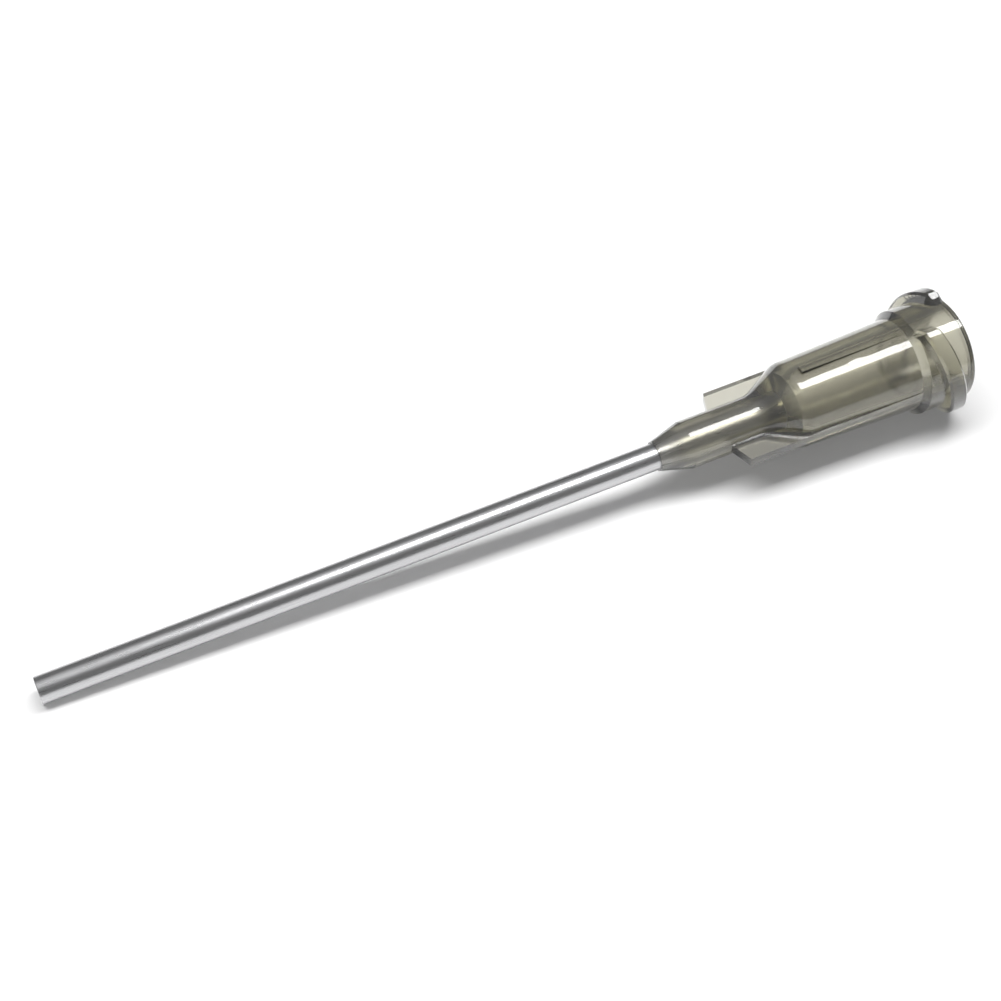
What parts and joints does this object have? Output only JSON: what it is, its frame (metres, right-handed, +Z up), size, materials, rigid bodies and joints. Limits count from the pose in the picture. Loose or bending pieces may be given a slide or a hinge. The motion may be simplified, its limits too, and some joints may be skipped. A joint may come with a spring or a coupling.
{
  "type": "dispensing needle tip",
  "caption": "Blunt straight steel tube bonded in a translucent smoke-grey winged hub with a female luer-lock socket, lying as it rests on a bench.",
  "frame": {"origin": "centre of the bounding box's base, on the surface that the tip lies on", "axes": "+X from the steel tip towards the hub's mouth, +Z up; the tip's own axis rises a little towards the hub"},
  "size_m": [0.0586, 0.0078, 0.0075],
  "materials": {
    "hub_plastic": "translucent smoke-grey moulded polypropylene, glossy",
    "tube_steel": "drawn stainless steel, bright, with fine lines along the tube"
  },
  "bodies": {
    "root": {"hub": "hub_plastic", "tube": "tube_steel"}
  },
  "joints": []
}
